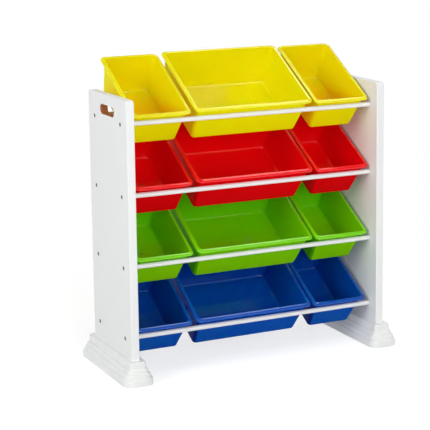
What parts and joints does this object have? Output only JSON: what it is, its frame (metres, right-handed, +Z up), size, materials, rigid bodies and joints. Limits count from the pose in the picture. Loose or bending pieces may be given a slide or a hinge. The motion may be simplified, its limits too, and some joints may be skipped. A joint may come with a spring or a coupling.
{
  "type": "toy storage shelf with bins",
  "caption": "Free-standing toy shelf: white board sides on stepped feet, joined by rods that carry tiers of tilted coloured plastic bins.",
  "frame": {"origin": "middle of the footprint of the two feet, on the floor", "axes": "+X to the right seen from the front, +Y from the front to the rear, +Z up"},
  "size_m": [0.885, 0.37, 0.8986],
  "materials": {
    "white_board": "painted board, satin white, bare brown board in the hand slot",
    "white_plastic": "moulded plastic, satin white",
    "white_rod": "powder coated steel tube, white",
    "bolt_steel": "dark bronzed steel",
    "yellow_plastic": "glossy moulded plastic",
    "red_plastic": "glossy moulded plastic",
    "green_plastic": "glossy moulded plastic",
    "blue_plastic": "glossy moulded plastic"
  },
  "bodies": {
    "frame": {"left_side_panel": "white_board", "right_side_panel": "white_board", "left_foot": "white_plastic", "right_foot": "white_plastic", "left_panel_bolts": "bolt_steel", "right_panel_bolts": "bolt_steel", "left_rod_plugs": "bolt_steel", "right_rod_plugs": "bolt_steel", "left_foot_screws": "bolt_steel", "right_foot_screws": "bolt_steel", "bottom_front_rod": "white_rod", "bottom_rear_rod": "white_rod", "lower_front_rod": "white_rod", "lower_rear_rod": "white_rod", "upper_front_rod": "white_rod", "upper_rear_rod": "white_rod", "top_front_rod": "white_rod", "top_rear_rod": "white_rod"},
    "bottom_left_bin": {"bottom_left_bin": "blue_plastic"},
    "bottom_centre_bin": {"bottom_centre_bin": "blue_plastic"},
    "bottom_right_bin": {"bottom_right_bin": "blue_plastic"},
    "lower_left_bin": {"lower_left_bin": "green_plastic"},
    "lower_centre_bin": {"lower_centre_bin": "green_plastic"},
    "lower_right_bin": {"lower_right_bin": "green_plastic"},
    "upper_left_bin": {"upper_left_bin": "red_plastic"},
    "upper_centre_bin": {"upper_centre_bin": "red_plastic"},
    "upper_right_bin": {"upper_right_bin": "red_plastic"},
    "top_left_bin": {"top_left_bin": "yellow_plastic"},
    "top_centre_bin": {"top_centre_bin": "yellow_plastic"},
    "top_right_bin": {"top_right_bin": "yellow_plastic"}
  },
  "joints": [
    {"name": "bottom_left_bin_tip", "type": "hinge", "parent": "frame", "child": "bottom_left_bin", "pos_m": [-0.2929, 0.0985, 0.12], "axis": [-1, 0, 0], "range_deg": [0, 18]},
    {"name": "bottom_centre_bin_tip", "type": "hinge", "parent": "frame", "child": "bottom_centre_bin", "pos_m": [-0.0061, 0.0985, 0.12], "axis": [-1, 0, 0], "range_deg": [0, 18]},
    {"name": "bottom_right_bin_tip", "type": "hinge", "parent": "frame", "child": "bottom_right_bin", "pos_m": [0.2806, 0.0985, 0.12], "axis": [-1, 0, 0], "range_deg": [0, 18]},
    {"name": "lower_left_bin_tip", "type": "hinge", "parent": "frame", "child": "lower_left_bin", "pos_m": [-0.2868, 0.0985, 0.3235], "axis": [-1, 0, 0], "range_deg": [0, 18]},
    {"name": "lower_centre_bin_tip", "type": "hinge", "parent": "frame", "child": "lower_centre_bin", "pos_m": [0, 0.0985, 0.3235], "axis": [-1, 0, 0], "range_deg": [0, 18]},
    {"name": "lower_right_bin_tip", "type": "hinge", "parent": "frame", "child": "lower_right_bin", "pos_m": [0.2868, 0.0985, 0.3235], "axis": [-1, 0, 0], "range_deg": [0, 18]},
    {"name": "upper_left_bin_tip", "type": "hinge", "parent": "frame", "child": "upper_left_bin", "pos_m": [-0.285, 0.0985, 0.527], "axis": [-1, 0, 0], "range_deg": [0, 18]},
    {"name": "upper_centre_bin_tip", "type": "hinge", "parent": "frame", "child": "upper_centre_bin", "pos_m": [0.0018, 0.0985, 0.527], "axis": [-1, 0, 0], "range_deg": [0, 18]},
    {"name": "upper_right_bin_tip", "type": "hinge", "parent": "frame", "child": "upper_right_bin", "pos_m": [0.2885, 0.0985, 0.527], "axis": [-1, 0, 0], "range_deg": [0, 18]},
    {"name": "top_left_bin_tip", "type": "hinge", "parent": "frame", "child": "top_left_bin", "pos_m": [-0.2868, 0.0985, 0.7305], "axis": [-1, 0, 0], "range_deg": [0, 18]},
    {"name": "top_centre_bin_tip", "type": "hinge", "parent": "frame", "child": "top_centre_bin", "pos_m": [0, 0.0985, 0.7305], "axis": [-1, 0, 0], "range_deg": [0, 18]},
    {"name": "top_right_bin_tip", "type": "hinge", "parent": "frame", "child": "top_right_bin", "pos_m": [0.2868, 0.0985, 0.7305], "axis": [-1, 0, 0], "range_deg": [0, 18]}
  ]
}
